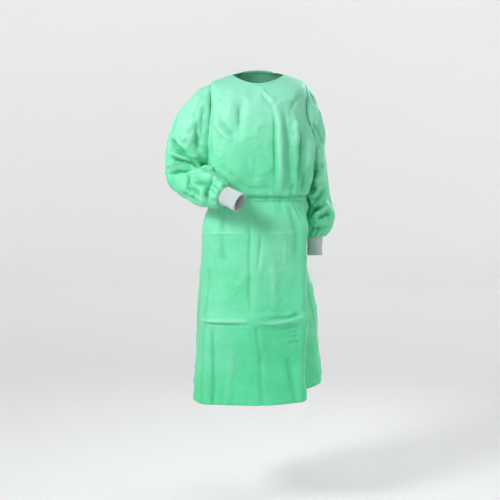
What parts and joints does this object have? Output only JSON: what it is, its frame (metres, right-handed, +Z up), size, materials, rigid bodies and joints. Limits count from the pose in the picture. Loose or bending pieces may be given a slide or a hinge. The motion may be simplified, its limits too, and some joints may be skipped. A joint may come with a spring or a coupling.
{
  "type": "isolation gown",
  "caption": "Isolation gown of green non-woven cloth, hollow and in worn pose, with long sleeves, white knit cuffs, bound neck, overlapping back and a waist tie knotted behind.",
  "frame": {"origin": "midway between the neck ends of the two shoulder seams, where the wearer's shoulders carry the gown", "axes": "+Z up, -Y to the front of the gown, +X to the wearer's left"},
  "size_m": [0.5605, 0.4222, 1.0803],
  "materials": {
    "green_nonwoven": "mint green coated non-woven, satin",
    "white_knit": "white rib knit, matt"
  },
  "bodies": {
    "root": {"front_panel": "green_nonwoven", "back_panel_left": "green_nonwoven", "back_panel_right": "green_nonwoven", "sleeve_right": "green_nonwoven", "sleeve_left": "green_nonwoven", "cuff_right": "white_knit", "cuff_left": "white_knit", "neck_binding": "green_nonwoven", "neck_tab": "green_nonwoven", "waist_tie": "green_nonwoven", "waist_knot": "green_nonwoven", "tie_end_left": "green_nonwoven", "tie_end_right": "green_nonwoven"}
  },
  "joints": []
}
